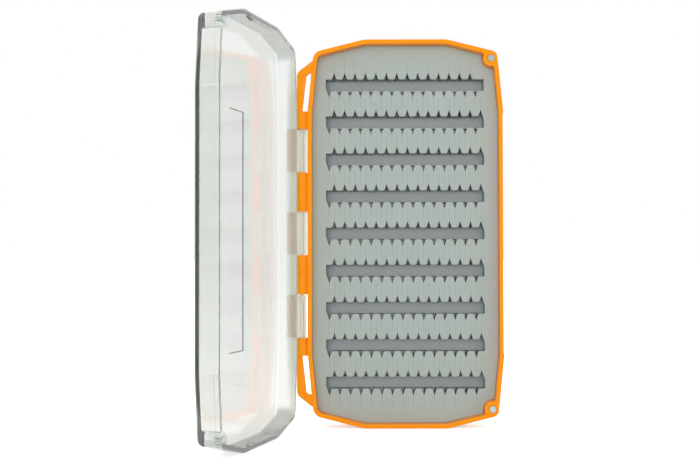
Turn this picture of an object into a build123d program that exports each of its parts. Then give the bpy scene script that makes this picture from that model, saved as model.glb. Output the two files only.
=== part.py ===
from build123d import *
from math import floor, radians, tan
import os

# Fly box: a tray with a slit-foam insert, and a clear lid on a pin hinge, held shut
# by magnets in the corners. It stands on one end with the lid open.
# Millimetres and degrees. +Z up along the box, +X from the hinge side to the latch
# side, -Y out of the tray's mouth. The origin is the middle of the tray's lower end.

# ---- Outline shared by tray and lid, looking into the mouth ----
LENGTH = 190.5           # end to end
WIDTH = 96.1             # across the long sides, without the hinge
END_FLAT = 40.4          # straight middle of each end
CORNER_DROP = 6.2        # corners fall short of the ends by this
CORNER_TUCK = 3.0        # corners lie inside the long sides by this
SIDE_FLAT = 118.0        # straight middle of each long side, and the thumb recess
LATCH_CORNER_R = 3.5
HINGE_CORNER_R = 5.0
END_BEND_R = 12.0        # soft bend where an end turns into its corner slope

# ---- Tray ----
TRAY_DEPTH = 16.8
TRAY_FLOOR = 2.0
TRAY_WALL = 2.1
TRAY_BACK_R = 2.5        # round along the back edges
RIM_R = 0.4              # round along the rim's outer edge
THUMB_DEPTH = 0.42       # thumb recess in both latch sides
THUMB_DROP = 8.0         # how far it runs down the tray's side

# ---- Lid ----
LID_DEPTH = 11.4
LID_PANEL = 2.2
LID_WALL = 1.7
LID_EDGE_R = 2.5         # round along the panel's edges
LID_INNER_R = 0.8        # round at the foot of the lid's walls
BEAD_HEIGHT = 2.0        # bead round the lid's rim, as proud as the thumb recess is deep
SEAM_GAP = 0.3           # rim to rim when shut
LID_RIM_R = 0.15         # round along the rim's outer edge
LID_THUMB_CUT = 0.25     # the lid's latch wall lies this much deeper at the thumb recess
LID_THUMB_RAMP = 0.5     # each end of that deeper stretch slopes over this length
LID_THUMB_INSET = 0.3    # it starts this far inside the straight stretch
TONGUE_LENGTH = 30.0     # locating tongue on each end wall
TONGUE_TAPER = 5.0       # each end slopes into the wall over this
TONGUE_THICK = 0.8
TONGUE_PROUD = 1.2       # beyond the lid's rim
TONGUE_ROOT = 1.5        # down the lid's wall
TONGUE_GAP = 0.3         # tongue to tray wall
FIELD_LENGTH = 107.4     # shallow rectangular field inside the panel
FIELD_WIDTH = 16.1
FIELD_SHIFT = 6.85       # towards the latch side
FIELD_CUT = 0.4
FIELD_SLOPE = 45.0       # its sides lean out from square by this

# ---- Hinge ----
OPEN_ANGLE = 106.4       # lid angle as modelled; 0 is shut
AXIS_OUT = 2.8           # pin axis outside the tray's long side
AXIS_DROP = 0.9          # pin axis behind the tray's rim
BARREL_GAP = 0.35        # tray barrel to lid wall
KNUCKLE_COUNT = 3
KNUCKLE_LENGTH = 20.5
KNUCKLE_PITCH = 40.45
KNUCKLE_R = 2.3
KNUCKLE_GAP = 0.35       # knuckle end to window
ARM_REACH = 6.7          # knuckle arm, from the axis down the lid's side
PIN_D = 1.6
PIN_FIT = 0.05           # radial
PIN_END_GAP = 0.2
FLANGE_SETBACK = 0.5     # flange face behind the rim
FLANGE_TIP = 79.0        # middle of the box to the flange's outer corner
FLANGE_ROOT = 85.2       # middle of the box to where the flange meets the tray
FLANGE_CORNER_R = 4.0
FLANGE_EDGE_R = 1.2
SLOT_START = 59.7        # lanyard slot, from the middle of the box
SLOT_LENGTH = 20.0
SLOT_STRIP_IN = 2.7      # flange left outside the slot, at its inner end
SLOT_STRIP_OUT = 4.7     # and at its outer end
SLOT_SKEW = 2.0          # the outer end slopes by this
SLOT_R = 0.7

# ---- Magnets ----
MAGNET_D = 3.175
MAGNET_LENGTH = 3.175
MAGNET_FIT = 0.02        # radial
MAGNET_SIDE_IN = 5.85    # magnet axis inside the long side
MAGNET_END_IN = 9.35     # magnet axis inside the end
TRAY_BOSS_R = 3.9
LID_BOSS_R = 3.0
BOSS_BLEND_R = 1.0
POCKET_CHAMFER = 0.4

# ---- Foam ----
FOAM_BELOW_RIM = 6.0
SLIT_FOAM_THICK = 6.0
FILM_THICK = 0.2         # adhesive film under the foam
FOAM_GAP = 0.3           # foam to tray wall
TRENCH_PITCH = 18.4
TRENCH_WIDTH = 5.66
SIDE_LAND = 6.55         # plain foam beside the trenches
MIN_END_LAND = 12.0      # plain foam beyond the last trench, at least
NOTCH_PITCH = 5.18
NOTCH_DEPTH = 2.7
NOTCH_MOUTH = 2.3
NOTCH_ROOT = 0.4
NOTCH_MARGIN = 1.5       # trench end to the first notch

# ---- Worked out from the sizes above ----
HALF_L = LENGTH / 2
HALF_W = WIDTH / 2
RIM_Y = -TRAY_DEPTH / 2
BACK_Y = TRAY_DEPTH / 2
FLOOR_Y = BACK_Y - TRAY_FLOOR
FOAM_Y = RIM_Y + FOAM_BELOW_RIM
BACKING_Y = FOAM_Y + SLIT_FOAM_THICK
FILM_Y = FLOOR_Y - FILM_THICK
LID_RIM_Y = RIM_Y - SEAM_GAP
LID_FLOOR_Y = LID_RIM_Y - LID_DEPTH + LID_PANEL
AXIS_X = -(HALF_W + AXIS_OUT)
AXIS_Y = RIM_Y + AXIS_DROP
BARREL_R = AXIS_OUT - BARREL_GAP
BORE_R = PIN_D / 2 + PIN_FIT
CORNER_X = HALF_W - CORNER_TUCK
CORNER_Z = HALF_L - CORNER_DROP
MAGNET_X = HALF_W - MAGNET_SIDE_IN
MAGNET_Z = HALF_L - MAGNET_END_IN
MAGNET_HEIGHTS = (MAGNET_Z, -MAGNET_Z)
PAST = 1.0               # how far cuts run past the faces they open


def mouth(y):
    """A sketch plane square on to the mouth at depth y, with its middle half way up
    the box; extruding from it goes towards -Y."""
    return Plane(origin=(0, y, HALF_L), x_dir=(1, 0, 0), z_dir=(0, -1, 0))


def side_x(z):
    """Distance of the long side from the middle, at height z from the middle."""
    beyond = max(0.0, abs(z) - SIDE_FLAT / 2)
    return HALF_W - CORNER_TUCK * beyond / (CORNER_Z - SIDE_FLAT / 2)


def rounded(face, spots, radius):
    """A flat face with the corners at the given spots rounded."""
    near = [v for v in face.vertices() if min((Vector(v.X, v.Y) - s).length for s in spots) < 1e-3]
    return fillet(near, radius)


def outline(inset=0.0):
    """The outline of tray and lid as a face, pulled in by inset."""
    end, corner, side = (END_FLAT / 2, HALF_L), (CORNER_X, CORNER_Z), (HALF_W, SIDE_FLAT / 2)
    upper_right = [end, corner, side]
    right = upper_right + [(x, -z) for x, z in reversed(upper_right)]
    left = [(-x, z) for x, z in reversed(right)]
    face = make_face(Polyline(*right, *left, close=True))
    if inset:
        face = offset(face, amount=-inset, kind=Kind.INTERSECTION)
    spots = [Vector(v.X, v.Y) for v in face.vertices().sort_by(lambda v: -abs(v.Y))]
    bends, corners = spots[:4], spots[4:8]
    face = rounded(face, bends, END_BEND_R)
    face = rounded(face, [s for s in corners if s.X > 0], max(LATCH_CORNER_R - inset, 0.5))
    return rounded(face, [s for s in corners if s.X < 0], max(HINGE_CORNER_R - inset, 0.5))


def hollow(inset, boss_r):
    """The hollow inside an outline: pulled in by inset, less the magnet bosses."""
    face = outline(inset)
    for z in MAGNET_HEIGHTS:
        face = face - Pos(MAGNET_X, z) * Circle(boss_r)
    face = face.face()
    centres = [Vector(MAGNET_X, z) for z in MAGNET_HEIGHTS]
    feet = [Vector(v.X, v.Y) for v in face.vertices()
            if min(abs((Vector(v.X, v.Y) - c).length - boss_r) for c in centres) < 1e-4]
    return rounded(face, feet, BOSS_BLEND_R)


def block(x0, x1, y0, y1, z0, z1):
    """A block between two corners, its heights counted from the middle of the box."""
    middle = Pos((x0 + x1) / 2, (y0 + y1) / 2, HALF_L + (z0 + z1) / 2)
    return middle * Box(x1 - x0, y1 - y0, z1 - z0)


def hinge_rod(radius, z0, z1):
    """A cylinder on the hinge axis between two heights from the middle of the box."""
    return Pos(AXIS_X, AXIS_Y, HALF_L + (z0 + z1) / 2) * Cylinder(radius, z1 - z0)


def knuckle_heights():
    """The middle of each knuckle, from the middle of the box."""
    first = -(KNUCKLE_COUNT - 1) / 2 * KNUCKLE_PITCH
    return [first + i * KNUCKLE_PITCH for i in range(KNUCKLE_COUNT)]


def pocket(rim_y, height, turn):
    """A magnet pocket with a chamfered mouth; turn is 90 to open towards -Y, -90 towards +Y."""
    across = MAGNET_D / 2 + MAGNET_FIT
    hole = Pos(0, 0, (PAST - MAGNET_LENGTH) / 2) * Cylinder(across, MAGNET_LENGTH + PAST)
    flare_height = POCKET_CHAMFER + PAST
    flare = Pos(0, 0, PAST - flare_height / 2) * Cone(across, across + flare_height, flare_height)
    return Pos(MAGNET_X, rim_y, HALF_L + height) * Rot(turn, 0, 0) * (hole + flare)


def magnet(rim_y, height, turn):
    """A disc magnet that lies flush in its pocket; turn as for the pocket."""
    disc = Pos(0, 0, -MAGNET_LENGTH / 2) * Cylinder(MAGNET_D / 2, MAGNET_LENGTH)
    return Pos(MAGNET_X, rim_y, HALF_L + height) * Rot(turn, 0, 0) * disc


# ---------------- tray ----------------

def tray_body():
    """The tray's outer block, with its back edges rounded."""
    body = extrude(mouth(BACK_Y) * outline(), TRAY_DEPTH)
    body = fillet(body.faces().sort_by(Axis.Y)[-1].edges(), TRAY_BACK_R)
    return fillet(body.faces().sort_by(Axis.Y)[0].edges(), RIM_R)


def flange():
    """The hinge flange, the barrel on its edge, and their groove against the tray."""
    outer = AXIS_X - BARREL_R
    inner = -HALF_W + CORNER_TUCK + TRAY_WALL / 2
    upper = [(outer, FLANGE_TIP), (-side_x(FLANGE_ROOT), FLANGE_ROOT), (inner, FLANGE_ROOT)]
    plan = make_face(Polyline(*upper, *[(x, -z) for x, z in reversed(upper)], close=True))
    tips = [Vector(outer, FLANGE_TIP), Vector(outer, -FLANGE_TIP)]
    plan = rounded(plan, tips, FLANGE_CORNER_R)
    back = AXIS_Y + BARREL_R
    plate = extrude(mouth(back) * plan, back - (RIM_Y + FLANGE_SETBACK))
    rim_edges = plate.edges().filter_by(lambda e: e.center().X < AXIS_X and abs(e.tangent_at(0).Y) < 0.5)
    plate = fillet(rim_edges, FLANGE_EDGE_R)
    return plate + hinge_rod(BARREL_R, -SLOT_START, SLOT_START)


def lanyard_slot(side):
    """The slot between the tray's side and the flange, at the upper (1) or lower (-1) end."""
    outer = AXIS_X - BARREL_R
    far = SLOT_START + SLOT_LENGTH
    points = [(outer + SLOT_STRIP_IN, SLOT_START), (outer + SLOT_STRIP_OUT, far - SLOT_SKEW),
              (-side_x(far), far), (-side_x(SLOT_START), SLOT_START)]
    plan = make_face(Polyline(*[(x, side * z) for x, z in points], close=True))
    plan = fillet(plan.vertices(), SLOT_R)
    return extrude(mouth(BACK_Y) * plan, TRAY_DEPTH)


def base_shell():
    """The tray with its hinge flange, lanyard slots, knuckle windows and magnet bosses."""
    shell = tray_body() + flange()
    shell -= extrude(mouth(FLOOR_Y) * hollow(TRAY_WALL, TRAY_BOSS_R), FLOOR_Y - RIM_Y + PAST)
    for side in (1, -1):
        shell -= lanyard_slot(side)
    half = KNUCKLE_LENGTH / 2 + KNUCKLE_GAP
    for z in knuckle_heights():
        shell -= block(AXIS_X - BARREL_R - PAST, -HALF_W, RIM_Y - BARREL_R, BACK_Y, z - half, z + half)
    shell -= hinge_rod(BORE_R, -SLOT_START, SLOT_START)
    thumb = SIDE_FLAT / 2
    shell -= block(HALF_W - THUMB_DEPTH, HALF_W + PAST, RIM_Y - PAST, RIM_Y + THUMB_DROP, -thumb, thumb)
    for z in MAGNET_HEIGHTS:
        shell -= pocket(RIM_Y, z, 90)
    return shell


def hinge_pin():
    """The steel pin, held between the strips beside the two lanyard slots."""
    reach = SLOT_START - PIN_END_GAP
    return hinge_rod(PIN_D / 2, -reach, reach)


# ---------------- lid, built shut and then opened ----------------

def opened(shape):
    """Swing a shape about the hinge axis from the shut lid to the modelled angle."""
    axis = Axis((AXIS_X, AXIS_Y, 0), (0, 0, 1))
    return shape.rotate(axis, -OPEN_ANGLE)


def knuckle(height):
    """One hinge knuckle with the arm that joins it to the lid's side."""
    half = KNUCKLE_LENGTH / 2
    wall = -HALF_W + THUMB_DEPTH + LID_WALL / 2
    section = [(AXIS_X, AXIS_Y), (AXIS_X - KNUCKLE_R, AXIS_Y), (AXIS_X - KNUCKLE_R, AXIS_Y - KNUCKLE_R),
               (-HALF_W + THUMB_DEPTH, AXIS_Y - ARM_REACH), (wall, AXIS_Y - ARM_REACH),
               (wall, LID_RIM_Y), (AXIS_X, LID_RIM_Y)]
    arm = make_face(Polyline(*section, close=True))
    arm = Pos(0, 0, HALF_L + height - half) * extrude(arm, KNUCKLE_LENGTH)
    return arm + hinge_rod(KNUCKLE_R, height - half, height + half)


def tongue(side):
    """The locating tongue inside the upper (1) or lower (-1) end wall of the lid, with
    the root that joins it to the wall."""
    half = TONGUE_LENGTH / 2
    outer = HALF_L - TRAY_WALL - TONGUE_GAP
    inner = outer - TONGUE_THICK
    buried = HALF_L - THUMB_DEPTH - LID_WALL / 2
    corners = [(half, outer), (half - TONGUE_TAPER, inner), (TONGUE_TAPER - half, inner), (-half, outer)]
    plan = make_face(Polyline(*[(x, side * z) for x, z in corners], close=True))
    ends = [(-half, buried), (half, buried)]
    root_plan = make_face(Polyline(*[(x, side * z) for x, z in corners + ends], close=True))
    rib = extrude(mouth(LID_RIM_Y + TONGUE_PROUD) * plan, TONGUE_PROUD + TONGUE_ROOT)
    return rib + extrude(mouth(LID_RIM_Y) * root_plan, TONGUE_ROOT)


def panel_field():
    """The shallow rectangular field on the inside of the lid's panel."""
    plane = mouth(LID_FLOOR_Y - FIELD_CUT) * Pos(FIELD_SHIFT, 0)
    bottom_in = 2 * FIELD_CUT * tan(radians(FIELD_SLOPE))
    bottom = Rectangle(FIELD_WIDTH - bottom_in, FIELD_LENGTH - bottom_in)
    return extrude(plane * bottom, -(FIELD_CUT + PAST), taper=-FIELD_SLOPE)


def lid_thumb():
    """The thumb recess across the lid's latch wall, with a ramp at each end."""
    top = SIDE_FLAT / 2 - LID_THUMB_INSET
    face_x = HALF_W - THUMB_DEPTH
    upper = [(face_x + PAST, top), (face_x, top), (face_x - LID_THUMB_CUT, top - LID_THUMB_RAMP)]
    points = upper + [(x, -z) for x, z in reversed(upper)]
    return extrude(mouth(RIM_Y) * make_face(Polyline(*points, close=True)), LID_DEPTH + PAST)


def lid_shell():
    """The clear lid with its rim bead, knuckles, tongues and magnet bosses."""
    shell = extrude(mouth(LID_RIM_Y) * outline(THUMB_DEPTH), LID_DEPTH)
    shell = fillet(shell.faces().sort_by(Axis.Y)[0].edges(), LID_EDGE_R)
    bead = extrude(mouth(LID_RIM_Y) * outline(), BEAD_HEIGHT)
    shell += fillet(bead.faces().sort_by(Axis.Y)[-1].edges(), LID_RIM_R)
    shell -= lid_thumb()
    inside = extrude(mouth(LID_RIM_Y) * hollow(THUMB_DEPTH + LID_WALL, LID_BOSS_R), LID_RIM_Y - LID_FLOOR_Y)
    inside = fillet(inside.faces().sort_by(Axis.Y)[0].edges(), LID_INNER_R)
    shell -= inside
    for z in knuckle_heights():
        shell += knuckle(z)
    shell -= hinge_rod(BORE_R, -SLOT_START, SLOT_START)
    for side in (1, -1):
        shell += tongue(side)
    for z in MAGNET_HEIGHTS:
        shell -= pocket(LID_RIM_Y, z, -90)
    return opened(shell - panel_field())


# ---------------- foam insert ----------------

def toothed_edge(half, start):
    """Points along a trench's upper edge from left to right, with a notch into the foam
    at every pitch; start is the first notch's distance from the left end."""
    points = []
    count = floor((2 * half - start - NOTCH_MARGIN) / NOTCH_PITCH) + 1
    for i in range(count):
        x = -half + start + i * NOTCH_PITCH
        edge, tip = TRENCH_WIDTH / 2, TRENCH_WIDTH / 2 + NOTCH_DEPTH
        points += [(x - NOTCH_MOUTH / 2, edge), (x - NOTCH_ROOT / 2, tip)]
        points += [(x + NOTCH_ROOT / 2, tip), (x + NOTCH_MOUTH / 2, edge)]
    return points


def trench():
    """One trench as a face: notched above and below, half a pitch apart."""
    half = HALF_W - TRAY_WALL - FOAM_GAP - SIDE_LAND
    upper = toothed_edge(half, NOTCH_MARGIN + NOTCH_PITCH / 2)
    lower = [(-x, -z) for x, z in upper]
    ends = [(-half, TRENCH_WIDTH / 2), (half, TRENCH_WIDTH / 2), (half, -TRENCH_WIDTH / 2)]
    points = ends[:1] + upper + ends[1:] + lower + [(-half, -TRENCH_WIDTH / 2)]
    return make_face(Polyline(*points, close=True))


def trench_heights():
    """The middle of each trench, from the middle of the box."""
    room = 2 * (HALF_L - TRAY_WALL - FOAM_GAP - MIN_END_LAND) - TRENCH_WIDTH
    count = floor(room / TRENCH_PITCH) + 1
    return [(i - (count - 1) / 2) * TRENCH_PITCH for i in range(count)]


def foam_outline():
    """The outline of the foam sheets, clear of the tray's walls and bosses."""
    return hollow(TRAY_WALL + FOAM_GAP, TRAY_BOSS_R + FOAM_GAP)


def slit_foam():
    """The top sheet of foam, cut through by the toothed trenches."""
    face = foam_outline()
    for z in trench_heights():
        face = face - Pos(0, z) * trench()
    return extrude(mouth(BACKING_Y) * face, SLIT_FOAM_THICK)


def foam_backing():
    """The plain sheet of foam that closes the trenches behind."""
    return extrude(mouth(FILM_Y) * foam_outline(), FILM_Y - BACKING_Y)


def foam_film():
    """The thin adhesive film that holds the foam to the tray's floor."""
    return extrude(mouth(FLOOR_Y) * foam_outline(), FILM_THICK)


# ---------------- assembly ----------------

def pieces():
    """Every piece of the box by its node name, where it lies with the lid open."""
    return {
        "base_shell": base_shell(),
        "hinge_pin": hinge_pin(),
        "base_magnet_upper": magnet(RIM_Y, MAGNET_Z, 90),
        "base_magnet_lower": magnet(RIM_Y, -MAGNET_Z, 90),
        "slit_foam": slit_foam(),
        "foam_backing": foam_backing(),
        "foam_film": foam_film(),
        "lid_shell": lid_shell(),
        "lid_magnet_upper": opened(magnet(LID_RIM_Y, MAGNET_Z, -90)),
        "lid_magnet_lower": opened(magnet(LID_RIM_Y, -MAGNET_Z, -90)),
    }


os.makedirs("parts", exist_ok=True)
for name, shape in pieces().items():
    export_step(shape, "parts/" + name + ".step")
    print(name, len(shape.solids()), round(shape.volume, 1))
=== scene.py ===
"""Fly box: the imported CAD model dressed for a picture, standing open on its end."""
from math import atan2, cos, degrees, radians, sin, tan

import bmesh
import bpy
from mathutils import Matrix, Vector
from mathutils.geometry import delaunay_2d_cdt


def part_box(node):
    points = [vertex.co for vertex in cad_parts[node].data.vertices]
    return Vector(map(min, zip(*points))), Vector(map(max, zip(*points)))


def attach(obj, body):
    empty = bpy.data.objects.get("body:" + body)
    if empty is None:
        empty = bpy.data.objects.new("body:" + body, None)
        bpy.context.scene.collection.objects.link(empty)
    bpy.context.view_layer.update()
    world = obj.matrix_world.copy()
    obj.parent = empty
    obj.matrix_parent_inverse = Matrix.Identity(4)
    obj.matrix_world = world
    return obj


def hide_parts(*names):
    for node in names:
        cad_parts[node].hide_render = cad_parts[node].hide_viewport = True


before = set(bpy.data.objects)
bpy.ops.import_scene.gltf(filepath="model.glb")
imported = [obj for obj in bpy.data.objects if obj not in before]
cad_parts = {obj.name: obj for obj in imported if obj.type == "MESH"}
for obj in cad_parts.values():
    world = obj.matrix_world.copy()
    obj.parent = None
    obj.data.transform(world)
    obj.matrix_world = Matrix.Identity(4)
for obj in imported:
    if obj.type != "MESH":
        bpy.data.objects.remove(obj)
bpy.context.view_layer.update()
MM = 0.001                # the blocks below are in millimetres where they say so

# ---- Foam, in millimetres ----
TRENCH_COUNT = 9
TRENCH_PITCH = 18.4
TRENCH_WIDTH = 5.66
TRENCH_HALF = 39.1        # middle of the box to a trench's end
NOTCH_PITCH = 5.18
NOTCH_COUNT = 15          # on each edge of a trench
NOTCH_SHIFT = 1.25        # upper notches to the right of the middle, lower ones to the left
NOTCH_DEPTH = 2.7
NOTCH_MOUTH = 1.05        # half the mouth, before its corners are rounded
NOTCH_ROOT = 0.12         # half the root
TOOTH_ROUND = 0.8         # plan radius at a tooth's corners
SLIT_HALF = 0.012         # half the width of a closed slit
SLIT_REACH = 10.4         # trench edge to the end of its slits
EDGE_ROUND = 0.42         # cut edges rolled over by this
SLIT_ROUND = 0.07         # a slit's edges are rolled over by this
OUTER_ROUND = 0.08        # a sheet's outer edge, too
MARK_ROUND = 0.1          # and the edges of the marks in the backing
MARK_SPARE = 0.15         # each mark is this much wider than its notch
FOAM_SWELL = 0.22         # the sheets press this much closer to the tray's sides
END_SLOPE_START = 1.4     # a trench's end wall leans into the last notch from here
END_CORNER_ROUND = 0.25
ROLL_ANGLES = (0, 30, 60, 90)
FACE_STEP = 2.6           # side of the small triangles on a foam face
WELD = 0.002              # a sheet's cuts are joined where they come this close
UNEVEN = 0.12             # how far a sheet's face wanders
UNEVEN_SIZE = 6.5         # over lumps of about this size

# ---- Lid as it stands open, in millimetres and degrees ----
HINGE_X, HINGE_Y = -50.85, -7.5
LID_TILT = 16.4           # its mouth faces right, turned this far to the front
LID_RIM = -1.2            # its rim's face, out from the hinge axis
LID_FLOOR = -10.4         # the inner face of its panel
BEAD = 0.15               # what shows frosted at the rim
FIELD_TOP = -10.43        # the sloped sides of the field inside the panel
FIELD_BOTTOM = -10.77
KNUCKLE_REACH = 8.0       # hinge axis to the end of the knuckles' frosting and of the painted shade on them
BARREL_R = 2.6            # hinge axis to where the knuckles' arms start
HINGE_SIDE = 20.0         # hinge axis to where the painted shade on the hinge side's wall ends
LATCH_BOSS = 86.0         # hinge axis to where the magnet bosses start
LATCH_EDGE = 96.6         # hinge axis to the round along the panel's latch edge
END_START = 83.0          # middle of the box to where the end walls start
FOOT = 11.0               # table to where the shade low on the walls ends

# ---- Camera, in millimetres and degrees ----
CAMERA_PLACE = (-24.35, -541.8, 82.92)
CAMERA_TURN = (91.313, 0.099, 0.313)      # 90 about X looks level along +Y
LENS = 56.12

# ---- Light, in metres and watts; strengths are shares of full white ----
KEY_PLACE = (-0.25, -1.95, 0.3)
KEY_AIM = (0, 0, 0.095)
KEY_SIZE = (1.5, 1.1)
KEY_POWER = 19.2
AMBIENT = 0.75            # the surroundings as light
ROOM_SHADE = 0.4          # how much dimmer the room in front is in glass and metal
FLOOR_HALF = 40.0         # half the floor's side
FLOOR_SEEN = 0.9          # the floor's own glow where it is looked at
FLOOR_FAR = 0.34          # its glow through glass and in metal
FLOOR_NEAR_GAIN = 0.12    # and what is added to that below the box, a painted pool of light
FLOOR_NEAR = 0.8          # how far out that addition reaches
CONTACT_REACH = 0.015     # the floor's glow is shaded this close to the box
CONTACT_SHARE = 0.45      # by up to this share


# ---------------- node building ----------------

class Wire:
    """A node's output that takes part in sums; each operator adds a Math node."""

    def __init__(self, graph, socket):
        self.graph = graph
        self.socket = socket

    def math(self, operation, *terms):
        return self.graph.node("ShaderNodeMath", {"operation": operation}, dict(enumerate(terms)))

    def __add__(self, other):
        return self.math("ADD", self, other)

    def __sub__(self, other):
        return self.math("SUBTRACT", self, other)

    def __rsub__(self, other):
        return self.math("SUBTRACT", other, self)

    def __mul__(self, other):
        return self.math("MULTIPLY", self, other)

    def __truediv__(self, other):
        return self.math("DIVIDE", self, other)

    def __rtruediv__(self, other):
        return self.math("DIVIDE", other, self)

    def __pow__(self, other):
        return self.math("POWER", self, other)

    __radd__ = __add__
    __rmul__ = __mul__

    def above(self, threshold):
        return self.math("GREATER_THAN", self, threshold)

    def limited(self):
        return self.graph.node("ShaderNodeClamp", {}, {"Value": self})

    def beyond(self, start, fade):
        """A mask that is 0 up to the start and rises to 1 over the fade."""
        return ((self - start) / fade).limited()

    def within(self, end, fade):
        """A mask that falls from 1 to 0 over the fade before the end."""
        return ((end - self) / fade).limited()

    def out(self, name):
        """Another output of the same node."""
        return Wire(self.graph, self.socket.node.outputs[name])


class Graph:
    """A node tree under construction."""

    def __init__(self, tree):
        self.tree = tree

    def node(self, kind, settings=None, values=None, out=0):
        """Add a node: its settings first, then the values or wires of its sockets."""
        made = self.tree.nodes.new(kind)
        for key, value in (settings or {}).items():
            if key == "stops":
                place_stops(made.color_ramp, value)
            else:
                setattr(made, key, value)
        for key, value in (values or {}).items():
            socket = made.inputs[key]
            if isinstance(value, Wire):
                self.tree.links.new(value.socket, socket)
            else:
                socket.default_value = value
        return Wire(self, made.outputs[out]) if made.outputs else made

    def rays(self, *kinds):
        """A mask of the kinds of ray that arrive, such as Camera or Glossy."""
        path = self.node("ShaderNodeLightPath")
        return sum(path.out(f"Is {kind} Ray") for kind in kinds).limited()


def place_stops(ramp, stops):
    """Give a colour ramp its stops, each a position and a colour."""
    while len(ramp.elements) < len(stops):
        ramp.elements.new(1.0)
    for element, (position, colour) in zip(ramp.elements, stops):
        element.position = position
        element.color = (*colour, 1.0)


def srgb(red, green, blue):
    """A colour written as screen values from 0 to 255, as linear light."""
    def linear(value):
        value /= 255
        return value / 12.92 if value <= 0.04045 else ((value + 0.055) / 1.055) ** 2.4
    return tuple(linear(value) for value in (red, green, blue))


class Finish(Graph):
    """A material under construction, with the patterns that several finishes share."""

    def __init__(self, name):
        self.material = bpy.data.materials.new(name)
        self.material.use_nodes = True
        self.material.node_tree.nodes.clear()
        super().__init__(self.material.node_tree)
        self.place = self.node("ShaderNodeTexCoord", out=3)

    def stretched(self, scale):
        """Object coordinates with a scale for each axis."""
        return self.node("ShaderNodeMapping", {}, {"Vector": self.place, "Scale": scale})

    def noise(self, size, detail=3.0, roughness=0.5, place=None):
        """Noise from 0 to 1 whose lumps are about size metres across."""
        values = {"Vector": place or self.place, "Scale": 1 / size}
        values |= {"Detail": detail, "Roughness": roughness}
        return self.node("ShaderNodeTexNoise", {}, values)

    def cells(self, size):
        """Distance from the middle of the nearest cell, for cells of about size metres."""
        return self.node("ShaderNodeTexVoronoi", {}, {"Vector": self.place, "Scale": 1 / size})

    def blend(self, amount, first, second):
        """A colour between two, by an amount from 0 to 1."""
        values = {0: amount}
        for socket, colour in ((6, first), (7, second)):
            values[socket] = colour if isinstance(colour, Wire) else (*colour, 1.0)
        return self.node("ShaderNodeMix", {"data_type": "RGBA"}, values, out=2)

    def bump(self, height, depth):
        """A surface bump of the given depth in metres."""
        values = {"Height": height, "Strength": 1.0, "Distance": depth}
        return self.node("ShaderNodeBump", {}, values)

    def surface(self, **values):
        """The main shader, joined to the material's output; underscores stand for spaces."""
        named = {key.replace("_", " "): value for key, value in values.items()}
        shader = self.node("ShaderNodeBsdfPrincipled", {}, named)
        return self.output(Surface=shader)

    def output(self, **shaders):
        self.node("ShaderNodeOutputMaterial", {}, shaders)
        return self.material


# ---------------- finishes, in metres ----------------

FOAM_CELL = 0.00022


def orange_plastic():
    """Satin moulded plastic: faint clouding, a fine moulded skin and handling scuffs."""
    it = Finish("orange_plastic")
    cloud = it.noise(0.022, 4.0)
    scuffs = it.noise(0.0016, 5.0, 0.65, it.stretched((1.0, 1.0, 0.12)))
    skin = it.noise(0.00035, 2.0)
    colour = it.blend(cloud, srgb(255, 148, 0), srgb(255, 155, 4))
    return it.surface(
        Base_Color=colour,
        Roughness=0.34 + 0.12 * (scuffs - 0.5) + 0.05 * (cloud - 0.5),
        Normal=it.bump(skin, 0.00001),
        IOR=1.49,
        Specular_IOR_Level=0.25,
        Subsurface_Weight=0.4,
        Subsurface_Radius=(1.0, 0.6, 0.1),
        Subsurface_Scale=0.003,
    )


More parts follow.
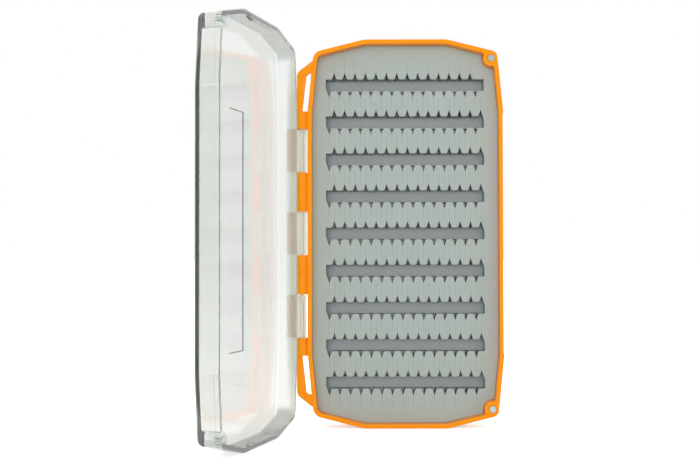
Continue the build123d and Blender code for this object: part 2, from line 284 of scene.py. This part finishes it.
def clear_plastic():
    """Clear moulded plastic, faintly smoky, with hair scratches and a polish haze. Painted
    shade darkens its hinge side's wall, its end walls most, the knuckles' arms, the panel's
    latch edge and the walls low down; the rim's bead is painted lighter; the bead and the knuckles
    are frosted."""
    it = Finish("clear_plastic")
    haze = it.noise(0.03, 3.0)
    hairs = it.noise(0.0009, 4.0, 0.6, it.stretched((1.0, 1.0, 0.04)))
    across = it.node("ShaderNodeSeparateXYZ", {}, {"Vector": it.place})
    height = across.out("Z")
    up = height - box_middle.z
    right, back = across - HINGE_X * MM, across.out("Y") - HINGE_Y * MM
    from_axis = (right ** 2 + back ** 2) ** 0.5
    turn = radians(LID_TILT)
    along = -sin(turn) * right - cos(turn) * back
    out_of_lid = cos(turn) * right - sin(turn) * back

    rim = out_of_lid.beyond((LID_RIM - BEAD) * MM, 0.0001)
    knuckle = from_axis.within(KNUCKLE_REACH * MM, 0.002)
    arm = from_axis.beyond(BARREL_R * MM, 0.0006)
    wall = out_of_lid.beyond(LID_FLOOR * MM, 0.0004) * (1.0 - rim)
    hinge_side = wall * along.within(HINGE_SIDE * MM, 0.01)
    past_end = up.math("ABSOLUTE", up).beyond(END_START * MM, 0.003)
    end = wall * past_end * along.within(LATCH_BOSS * MM, 0.003)
    latch_edge = along.beyond(LATCH_EDGE * MM, 0.0006) * (1.0 - wall)
    foot = wall * height.within(FOOT * MM, 0.003)
    field_side = out_of_lid.above(FIELD_BOTTOM * MM) * (1.0 - out_of_lid.above(FIELD_TOP * MM))

    tint_and_painted_light = it.blend(haze, (0.90, 0.91, 0.89), (0.92, 0.93, 0.91))
    # painted shade and painted light are blended into the plastic's smoke colour here
    for share, painted_colour in (
        # painted shade on the hinge side's wall
        (hinge_side, (0.86, 0.88, 0.865)),
        # painted shade on the end walls
        (end, (0.6, 0.62, 0.605)),
        # painted shade: a dark band along the panel's latch edge
        (latch_edge, (0.14, 0.16, 0.145)),
        # painted shade low on the walls, near the table
        (0.16 * foot, (0.0, 0.0, 0.0)),
        # painted light: the rim's bead is made lighter with white
        (rim, (1.0, 1.0, 1.0)),
        # painted shade on the knuckles, darkest on their arms
        (knuckle, it.blend(arm, (0.92, 0.92, 0.86), (0.56, 0.58, 0.5))),
    ):
        tint_and_painted_light = it.blend(share, tint_and_painted_light, painted_colour)
    scratched = 0.045 + 0.02 * haze + 0.03 * (hairs - 0.55).limited()
    frosted = 0.28 * rim + 0.28 * knuckle + 0.35 * field_side
    shader = it.node("ShaderNodeBsdfPrincipled", {}, {
        "Base Color": tint_and_painted_light,
        "Roughness": scratched + frosted,
        "IOR": 1.47,
        "Transmission Weight": 0.94,
    })
    lamp_side = it.node("ShaderNodeBsdfTransparent", {}, {"Color": (0.94, 0.96, 0.94, 1.0)})
    glass = it.node("ShaderNodeMixShader", {}, {0: it.rays("Shadow"), 1: shader, 2: lamp_side})
    thickness = {"Color": (0.62, 0.68, 0.62, 1.0), "Density": 30.0}
    return it.output(Surface=glass, Volume=it.node("ShaderNodeVolumeAbsorption", {}, thickness))


def foam(name, dark, light, node):
    """Closed-cell foam: a skin of tiny cells, a slow drift in tone and a few open pores.
    Its cut walls grow darker away from the face of the CAD node that it stands for: painted shade
    in the cuts."""
    it = Finish(name)
    depth = it.node("ShaderNodeSeparateXYZ", {}, {"Vector": it.place}, out=1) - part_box(node)[0].y
    # painted shade: the cut walls darken with depth
    cut = depth.beyond(0.0004, 0.002)
    drift = it.noise(0.013, 3.0)
    grain = it.noise(FOAM_CELL, 2.0, 0.6)
    pores = (1.0 - it.cells(FOAM_CELL * 3.0) * 2.2).limited()
    tone = (0.35 * drift + 0.65 * grain).limited()
    in_shade = [0.55 * part for part in dark]
    return it.surface(
        Base_Color=it.blend(0.6 * cut, it.blend(tone, dark, light), in_shade),
        Roughness=0.86 + 0.1 * grain,
        Normal=it.bump(0.7 * grain - 0.5 * pores ** 3.0, 0.00006),
        Specular_IOR_Level=0.25,
    )


def film_plastic():
    """Adhesive film: a matt skin with pressed-out air streaks."""
    it = Finish("film_plastic")
    streaks = it.noise(0.004, 3.0, 0.5, it.stretched((1.0, 1.0, 0.3)))
    colour = it.blend(streaks, srgb(214, 214, 208), srgb(228, 228, 224))
    return it.surface(
        Base_Color=colour,
        Roughness=0.5 + 0.2 * streaks,
        Normal=it.bump(streaks, 0.00002),
    )


def nickel():
    """Nickel plating, softly brushed, duller where it has been handled."""
    it = Finish("nickel")
    brush = it.noise(0.0006, 4.0, 0.6, it.stretched((1.0, 1.0, 0.08)))
    spots = it.noise(0.0012, 3.0)
    colour = it.blend(spots, srgb(190, 212, 214), srgb(208, 226, 226))
    return it.surface(
        Base_Color=colour,
        Metallic=1.0,
        Roughness=0.3 + 0.15 * brush + 0.1 * spots,
        Normal=it.bump(brush, 0.000004),
    )


def drawn_steel():
    """Stainless wire with drawing lines along its length."""
    it = Finish("drawn_steel")
    lines = it.noise(0.00025, 3.0, 0.5, it.stretched((1.0, 1.0, 0.01)))
    colour = it.blend(lines, srgb(196, 196, 190), srgb(222, 222, 216))
    return it.surface(
        Base_Color=colour,
        Metallic=1.0,
        Roughness=0.24 + 0.14 * lines,
        Normal=it.bump(lines, 0.000003),
    )


# ---------------- foam insert, cut in millimetres ----------------
# A cut is a plan path of points: x, z and how far the foam's edge rolls over there.
# The foam lies on the path's left. A trench's cuts are counted from its middle.

def arc(x, z, radius, start, turn, steps):
    """Points round a centre; angles in degrees."""
    angles = [radians(start + turn * step / steps) for step in range(steps + 1)]
    return [(x + radius * cos(angle), z + radius * sin(angle), EDGE_ROUND) for angle in angles]


def notch_half():
    """The left half of an upper notch and its slit, from tooth middle to the slit's tip."""
    turn = degrees(atan2(NOTCH_DEPTH, NOTCH_MOUTH - NOTCH_ROOT))
    corner = -NOTCH_MOUTH - TOOTH_ROUND * tan(radians(turn / 2))
    half = [(-NOTCH_PITCH / 2, 0.0, EDGE_ROUND)]
    half += arc(corner, TOOTH_ROUND, TOOTH_ROUND, -90, turn, 4)
    half += [
        (-NOTCH_ROOT, NOTCH_DEPTH, 0.8 * EDGE_ROUND),
        (-SLIT_HALF, NOTCH_DEPTH + 0.7, SLIT_ROUND),
        (-SLIT_HALF, 0.6 * SLIT_REACH, SLIT_ROUND),
        (-SLIT_HALF, SLIT_REACH - 0.8, 0.6 * SLIT_ROUND),
        (0.0, SLIT_REACH, 0.02),
    ]
    return shifted(half, 0.0, TRENCH_WIDTH / 2)


def mirrored(path):
    return [(-x, z, roll) for x, z, roll in reversed(path)]


def half_turned(path):
    return [(-x, -z, roll) for x, z, roll in path]


def shifted(path, across, up=0.0):
    return [(x + across, z + up, roll) for x, z, roll in path]


def notch_place(number):
    """Where an upper notch lies across the trench, counted from 0 at the left."""
    return NOTCH_SHIFT + (number - (NOTCH_COUNT - 1) / 2) * NOTCH_PITCH


def notch():
    """The first whole upper notch, from tooth middle to tooth middle."""
    half = notch_half()
    return shifted(half + mirrored(half)[1:], notch_place(0))


def end_wall():
    """The lower part of a trench's right end, on to the lower edge's first tooth."""
    inset = TRENCH_HALF - END_CORNER_ROUND
    corner = arc(inset, END_CORNER_ROUND - TRENCH_WIDTH / 2, END_CORNER_ROUND, 0, -90, 3)
    return corner + [(NOTCH_PITCH / 2 - notch_place(0), -TRENCH_WIDTH / 2, EDGE_ROUND)]


def notched_end():
    """A trench's right end: its last upper notch leans into the end wall."""
    half = notch_half()
    slit_back = mirrored(half)[1:5]
    lean = [(TRENCH_HALF, TRENCH_WIDTH / 2 - END_SLOPE_START, EDGE_ROUND)]
    return shifted(half + slit_back, notch_place(NOTCH_COUNT - 1)) + lean + end_wall()


def plain_end():
    """A trench's right end without that last notch."""
    start = [(notch_place(NOTCH_COUNT - 1) - NOTCH_PITCH / 2, TRENCH_WIDTH / 2, EDGE_ROUND)]
    inset = TRENCH_HALF - END_CORNER_ROUND
    corner = arc(inset, TRENCH_WIDTH / 2 - END_CORNER_ROUND, END_CORNER_ROUND, 90, -90, 3)
    return start + corner + end_wall()


def cut_edge(path, thickness, closed=False):
    """The wall and the rolled edge that a cut leaves, as a mesh with y the depth."""
    points = [Vector((x, z)) for x, z, roll in path]
    columns = bmesh.new()
    rows = []
    for i, point in enumerate(points):
        roll = path[i][2]
        before = points[i - 1] if i or closed else point
        after = points[(i + 1) % len(points)] if i + 1 < len(points) or closed else point
        sides = [side.normalized() for side in (point - before, after - point) if side.length]
        along = (sides[0] + sides[-1]).normalized()
        spread = 1 / max(along.dot(sides[0]), 0.6)
        inward = Vector((-along.y, along.x)) * roll * spread
        row = [columns.verts.new((point.x, thickness, point.y))]
        for angle in ROLL_ANGLES:
            place = point + inward * (1 - cos(radians(angle)))
            depth = roll * (1 - sin(radians(angle)))
            row.append(columns.verts.new((place.x, depth, place.y)))
        rows.append(row)
    for row, after in zip(rows, rows[1:] + rows[:1] if closed else rows[1:]):
        for i in range(len(row) - 1):
            columns.faces.new((row[i], after[i], after[i + 1], row[i + 1]))
    mesh = bpy.data.meshes.new("cut_edge")
    columns.to_mesh(mesh)
    columns.free()
    return mesh


def new_tree(name, inputs):
    """A geometry node tree with named inputs, and its input node's first wire."""
    tree = bpy.data.node_groups.new(name, "GeometryNodeTree")
    for label, kind in inputs:
        tree.interface.new_socket(label, in_out="INPUT", socket_type="NodeSocket" + kind)
    tree.interface.new_socket("Foam", in_out="OUTPUT", socket_type="NodeSocketGeometry")
    it = Graph(tree)
    return it, it.node("NodeGroupInput")


def finished_tree(it, given, shape):
    """End a tree with the material that it was given."""
    dressed = {"Geometry": shape, "Material": given.out("Material")}
    it.node("NodeGroupOutput", {}, {"Foam": it.node("GeometryNodeSetMaterial", {}, dressed)})
    return it.tree


def array_tree():
    """Copies a cut over columns and rows, and joins the copies where they meet."""
    it, given = new_tree("cut_array", [
        ("Cut", "Geometry"), ("Columns", "Int"), ("Column Pitch", "Float"),
        ("Rows", "Int"), ("Row Pitch", "Float"), ("Material", "Material"),
    ])
    shape = given
    for count, pitch, axis in (("Columns", "Column Pitch", "X"), ("Rows", "Row Pitch", "Z")):
        step = it.node("ShaderNodeCombineXYZ", {}, {axis: given.out(pitch)})
        line = it.node("GeometryNodeMeshLine", {}, {"Count": given.out(count), "Offset": step})
        copies = it.node("GeometryNodeInstanceOnPoints", {}, {"Points": line, "Instance": shape})
        shape = it.node("GeometryNodeRealizeInstances", {}, {"Geometry": copies})
    joined = it.node("GeometryNodeMergeByDistance", {}, {"Geometry": shape, "Distance": 0.001})
    return finished_tree(it, given, joined)


def uneven_tree():
    """Shifts a sheet's face a little, less towards its back, so no two teeth are alike."""
    it, given = new_tree("foam_unevenness", [
        ("Sheet", "Geometry"), ("Amount", "Float"), ("Size", "Float"),
        ("Thickness", "Float"), ("Seed", "Float"), ("Material", "Material"),
    ])
    lumps = {"W": given.out("Seed"), "Scale": 1 / given.out("Size")}
    noise = it.node("ShaderNodeTexNoise", {"noise_dimensions": "4D"}, lumps, out=1)
    halves = {0: noise, 1: (0.5, 0.5, 0.5)}
    centred = it.node("ShaderNodeVectorMath", {"operation": "SUBTRACT"}, halves)
    place = it.node("GeometryNodeInputPosition")
    depth = it.node("ShaderNodeSeparateXYZ", {}, {"Vector": place}, out=1)
    share = (1 - depth / given.out("Thickness")).limited() * given.out("Amount") * 2
    offset = it.node("ShaderNodeVectorMath", {"operation": "SCALE"}, {0: centred, "Scale": share})
    moved = it.node("GeometryNodeSetPosition", {}, {"Geometry": given, "Offset": offset})
    solid = it.node("GeometryNodeRealizeInstances", {}, {"Geometry": moved})
    return finished_tree(it, given, solid)


def grown(mesh, tree, values):
    """Run a mesh through a geometry node tree and return the plain mesh it makes."""
    source = bpy.data.objects.new("grown", mesh)
    bpy.context.collection.objects.link(source)
    modifier = source.modifiers.new("tree", "NODES")
    modifier.node_group = tree
    for item in tree.interface.items_tree:
        if item.in_out == "INPUT" and item.name in values:
            modifier[item.identifier] = values[item.name]
    view = bpy.context.evaluated_depsgraph_get()
    made = bpy.data.meshes.new_from_object(source.evaluated_get(view))
    bpy.data.objects.remove(source)
    return made


def cad_outline(node, y):
    """The outer loop of a CAD node's flat face at y, as a plan path in millimetres."""
    shape = bmesh.new()
    shape.from_mesh(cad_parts[node].data)
    bmesh.ops.remove_doubles(shape, verts=shape.verts, dist=1e-6)
    level = [f for f in shape.faces if abs(f.normal.y) > 0.99]
    flat = [f for f in level if abs(f.calc_center_median().y - y) < 1e-5]
    rim = [e for f in flat for e in f.edges if len([g for g in e.link_faces if g in flat]) == 1]
    ahead = {}
    for edge in rim:
        for here, there in (edge.verts, reversed(edge.verts)):
            ahead.setdefault(here, []).append(there)
    start = max(ahead, key=lambda v: v.co.x)
    loop, here = [start], max(ahead[start], key=lambda v: v.co.z)
    while here is not start:
        last, loop = loop[-1], loop + [here]
        here = [v for v in ahead[here] if v is not last][0]
    plan = [(v.co.x / MM, (v.co.z - box_middle.z) / MM) for v in loop]
    wide, tall = (1 + FOAM_SWELL / max(point[axis] for point in plan) for axis in (0, 1))
    path = [(x * wide, z * tall, OUTER_ROUND) for x, z in plan]
    shape.free()
    return path


def close_face(shape, depth):
    """Fill a sheet's open face at a depth with small triangles, leaving its cuts open."""
    shape.verts.index_update()
    open_edges = [e for e in shape.edges if e.is_boundary]
    rim = [e for e in open_edges if all(abs(v.co.y - depth) < 1e-4 for v in e.verts)]
    corners = sorted({v for e in rim for v in e.verts}, key=lambda v: v.index)
    number = {v: i for i, v in enumerate(corners)}
    lines = [tuple(number[v] for v in e.verts) for e in rim]
    places = [[v.co[axis] for v in corners] for axis in (0, 2)]
    grid = []
    for low, high in ((min(line), max(line)) for line in places):
        count = int((high - low) / FACE_STEP)
        grid.append([low + (high - low) * step / count for step in range(1, count)])
    corners += [shape.verts.new((x, depth, z)) for x in grid[0] for z in grid[1]]
    plan = [Vector((v.co.x, v.co.z)) for v in corners]
    plan, _, triangles, sources, *_ = delaunay_2d_cdt(plan, lines, [], 1, 1e-6)
    made = [shape.faces.new([corners[sources[i][0]] for i in triangle]) for triangle in triangles]
    edge_of_sheet = set(rim)
    outermost = max(rim, key=lambda e: e.verts[0].co.x + e.verts[1].co.x)
    solid, new = set(), [f for f in outermost.link_faces if f in set(made)]
    while new:
        face = new.pop()
        solid.add(face)
        crossed = (e for e in face.edges if e not in edge_of_sheet)
        new += [f for e in crossed for f in e.link_faces if f not in solid]
    bmesh.ops.delete(shape, geom=[f for f in made if f not in solid], context="FACES")
    bmesh.ops.delete(shape, geom=[v for v in shape.verts if not v.link_faces], context="VERTS")


def foam_sheet(name, node, cut_through, finish, seed):
    """A foam sheet in place of a CAD node: its outline and the cuts through it."""
    low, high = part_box(node)
    thickness = (high.y - low.y) / MM
    cuts = cut_through(thickness, finish)
    shape = bmesh.new()
    for mesh in [cut_edge(cad_outline(node, low.y), thickness, closed=True)] + cuts:
        shape.from_mesh(mesh)
    bmesh.ops.remove_doubles(shape, verts=shape.verts, dist=WELD)
    close_face(shape, 0.0)
    close_face(shape, thickness)
    bmesh.ops.recalc_face_normals(shape, faces=shape.faces)
    mesh = bpy.data.meshes.new(name)
    shape.to_mesh(mesh)
    shape.free()
    uneven = {"Amount": UNEVEN, "Size": UNEVEN_SIZE, "Thickness": thickness}
    mesh = grown(mesh, uneven_tree(), uneven | {"Seed": seed, "Material": finish})
    mesh.transform(Matrix.Translation((0, low.y, box_middle.z)) @ Matrix.Scale(MM, 4))
    mesh.shade_smooth()
    sheet = bpy.data.objects.new(name, mesh)
    bpy.context.collection.objects.link(sheet)
    weighted = sheet.modifiers.new("weighted", "WEIGHTED_NORMAL")
    weighted.weight = 100
    return sheet


def cut_all_over(runs, thickness, finish, closed=False):
    """The cuts of all the trenches. A run is the path of its first cut, in the trench's
    own place, how many follow in the trench, their pitch and the number of trenches."""
    tree = array_tree()
    top = (TRENCH_COUNT - 1) / 2 * TRENCH_PITCH
    cuts = []
    for path, columns, pitch, rows in runs:
        cut = cut_edge(shifted(path, 0.0, -top), thickness, closed)
        values = {"Columns": columns, "Column Pitch": pitch, "Rows": rows}
        values |= {"Row Pitch": TRENCH_PITCH, "Material": finish}
        cuts.append(grown(cut, tree, values))
    return cuts


def backing_cuts(thickness, finish):
    """The die's marks in the backing: each notch goes on through it."""
    near, far = TRENCH_WIDTH / 2 - 0.1, TRENCH_WIDTH / 2 + NOTCH_DEPTH + 0.3
    mouth = NOTCH_MOUTH + MARK_SPARE
    corners = [(-mouth, near), (-NOTCH_ROOT, far), (NOTCH_ROOT, far), (mouth, near)]
    mark = [(x + notch_place(0), z, MARK_ROUND) for x, z in corners]
    whole = NOTCH_COUNT - 1
    runs = [
        (mark, whole, NOTCH_PITCH, TRENCH_COUNT),
        (half_turned(mark), whole, -NOTCH_PITCH, TRENCH_COUNT),
    ]
    return cut_all_over(runs, thickness, finish, closed=True)


def slit_foam_cuts(thickness, finish):
    """Every trench's cut edges: whole notches and the two ends. The top trench lacks the
    last notch of its upper edge."""
    whole = NOTCH_COUNT - 1
    below_top = TRENCH_COUNT - 1
    runs = [
        (notch(), whole, NOTCH_PITCH, TRENCH_COUNT),
        (half_turned(notch()), whole, -NOTCH_PITCH, TRENCH_COUNT),
        (half_turned(notched_end()), 1, 0.0, TRENCH_COUNT),
        (notched_end(), 1, 0.0, below_top),
        (shifted(plain_end(), 0.0, below_top * TRENCH_PITCH), 1, 0.0, 1),
    ]
    return cut_all_over(runs, thickness, finish)


# ---------------- the box ----------------

def dress(finish, *nodes):
    """Give CAD nodes a finish in place of their own."""
    for node in nodes:
        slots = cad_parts[node].data.materials
        slots.clear()
        slots.append(finish)


box_middle = Vector((0, 0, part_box("base_shell")[1].z / 2))
dress(orange_plastic(), "base_shell")
dress(clear_plastic(), "lid_shell")
dress(drawn_steel(), "hinge_pin")
dress(film_plastic(), "foam_film")
dress(nickel(), "base_magnet_upper", "base_magnet_lower", "lid_magnet_upper", "lid_magnet_lower")

light_foam = foam("light_foam", srgb(159, 170, 165), srgb(180, 189, 184), "slit_foam")
dark_foam = foam("dark_foam", srgb(153, 160, 160), srgb(171, 177, 178), "foam_backing")
slit_sheet = foam_sheet("slit_foam_sheet", "slit_foam", slit_foam_cuts, light_foam, 3.0)
backing_sheet = foam_sheet("foam_backing_sheet", "foam_backing", backing_cuts, dark_foam, 8.0)
for sheet, node, slot in (
    (slit_sheet, "slit_foam", "foam_light"),
    (backing_sheet, "foam_backing", "foam_dark"),
):
    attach(sheet, "base")
    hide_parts(node)


# ---------------- studio ----------------

def floor_finish():
    """Plain pale floor: it takes the object's shadow and meets the white backdrop."""
    it = Finish("studio_floor")
    tone = it.blend(it.noise(0.004, 3.0), (0.86, 0.86, 0.86), (0.88, 0.88, 0.88))
    paper = it.node("ShaderNodeBsdfDiffuse", {}, {"Color": tone})
    far = it.node("ShaderNodeVectorMath", {"operation": "LENGTH"}, {0: it.place}, out=1)
    nearby = 1.0 / (1.0 + (far / FLOOR_NEAR) ** 2)
    # painted light: the floor glows brighter below the box where glass and metal show it
    behind_glass = (FLOOR_FAR + FLOOR_NEAR_GAIN * nearby) * it.rays("Glossy", "Transmission")
    open_sky = it.node("ShaderNodeAmbientOcclusion", {}, {"Distance": CONTACT_REACH}, out=1)
    shaded = 1.0 - CONTACT_SHARE + CONTACT_SHARE * open_sky
    strength = (FLOOR_SEEN * it.rays("Camera") + behind_glass) * shaded
    glow = it.node("ShaderNodeEmission", {}, {"Color": (1, 1, 1, 1), "Strength": strength})
    both = it.node("ShaderNodeAddShader", {}, {0: paper, 1: glow})
    return it.output(Surface=both)


def build_floor():
    plan = bmesh.new()
    bmesh.ops.create_grid(plan, x_segments=8, y_segments=8, size=FLOOR_HALF)
    mesh = bpy.data.meshes.new("floor")
    plan.to_mesh(mesh)
    plan.free()
    mesh.materials.append(floor_finish())
    floor = bpy.data.objects.new("floor", mesh)
    bpy.context.collection.objects.link(floor)


def build_key_lamp():
    """One soft lamp in front of the box, unseen in gloss."""
    lamp = bpy.data.lights.new("key", "AREA")
    lamp.shape = "RECTANGLE"
    lamp.size, lamp.size_y = KEY_SIZE
    lamp.energy = KEY_POWER
    holder = bpy.data.objects.new("key", lamp)
    holder.location = KEY_PLACE
    aim = Vector(KEY_AIM) - Vector(KEY_PLACE)
    holder.rotation_euler = aim.to_track_quat("-Z", "Y").to_euler()
    holder.visible_glossy = False
    bpy.context.collection.objects.link(holder)


def build_world():
    """Even white surroundings: full white where they are seen, dimmer as light, and
    dimmer in reflections of the room in front."""
    world = bpy.data.worlds.new("studio")
    world.use_nodes = True
    world.node_tree.nodes.clear()
    bpy.context.scene.world = world
    it = Graph(world.node_tree)
    towards = it.node("ShaderNodeTexCoord")
    back = it.node("ShaderNodeSeparateXYZ", {}, {"Vector": towards}, out=1)
    room = back.within(-0.1, 0.6) * it.rays("Glossy", "Transmission")
    seen = it.rays("Camera", "Glossy", "Transmission")
    strength = AMBIENT + (1 - AMBIENT) * seen - ROOM_SHADE * room
    sky = it.node("ShaderNodeBackground", {}, {"Color": (1, 1, 1, 1), "Strength": strength})
    it.node("ShaderNodeOutputWorld", {}, {"Surface": sky})


def build_camera():
    lens = bpy.data.cameras.new("camera")
    lens.lens = LENS
    lens.sensor_width = 36
    lens.clip_start = 0.01
    camera = bpy.data.objects.new("camera", lens)
    camera.location = [MM * part for part in CAMERA_PLACE]
    camera.rotation_euler = [radians(turn) for turn in CAMERA_TURN]
    bpy.context.collection.objects.link(camera)
    bpy.context.scene.camera = camera


build_floor()
build_world()
build_key_lamp()
build_camera()
bpy.context.scene.view_settings.view_transform = "Standard"
